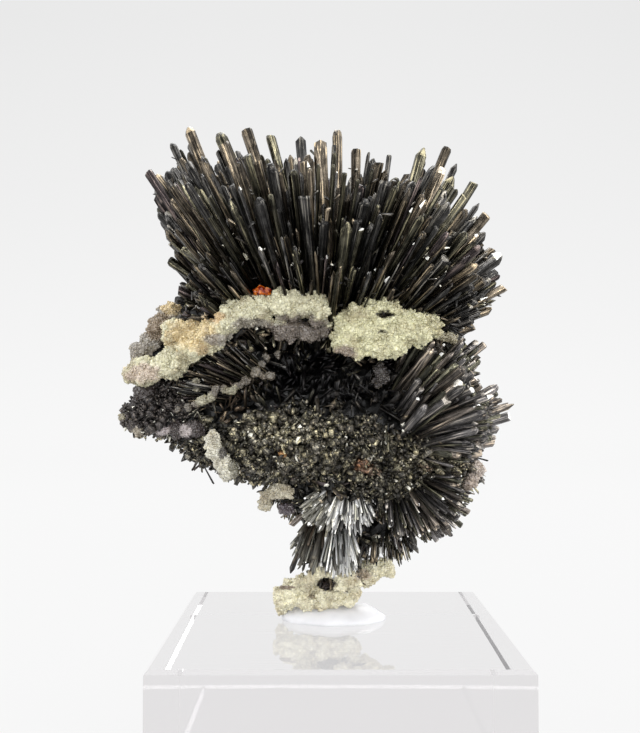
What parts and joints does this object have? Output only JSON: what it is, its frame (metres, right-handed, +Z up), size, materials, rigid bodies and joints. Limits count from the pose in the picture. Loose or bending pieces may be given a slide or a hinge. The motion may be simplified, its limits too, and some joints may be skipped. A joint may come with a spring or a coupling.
{
  "type": "stibnite mineral specimen on display block",
  "caption": "Radiating burr of dark metallic prisms with pale sugary crusts over its ledges and foot, held upright by a putty pad on a square clear block.",
  "frame": {"origin": "centre of the clear block's underside", "axes": "+Z up, the front with the pale ledge faces -Y, +X is the viewer's right"},
  "size_m": [0.0529, 0.044, 0.0859],
  "materials": {
    "stibnite": "steel grey to black metallic lustre, striated",
    "calcite": "sugary, slightly translucent cream",
    "lilac_calcite": "dull greyish lilac crust",
    "amber": "translucent orange red",
    "putty": "soft white putty",
    "acrylic": "polished clear acrylic"
  },
  "bodies": {
    "root": {"stibnite_crystals": "stibnite", "ledge_druse_left": "calcite", "ledge_druse_right": "calcite", "shoulder_druse": "calcite", "vein_druse": "calcite", "tip_druse": "lilac_calcite", "corner_druse": "calcite", "chip_druse": "calcite", "rim_druse": "calcite", "back_druse": "calcite", "foot_druse": "calcite", "amber_grain": "amber", "putty_pad": "putty", "display_block": "acrylic"}
  },
  "joints": []
}
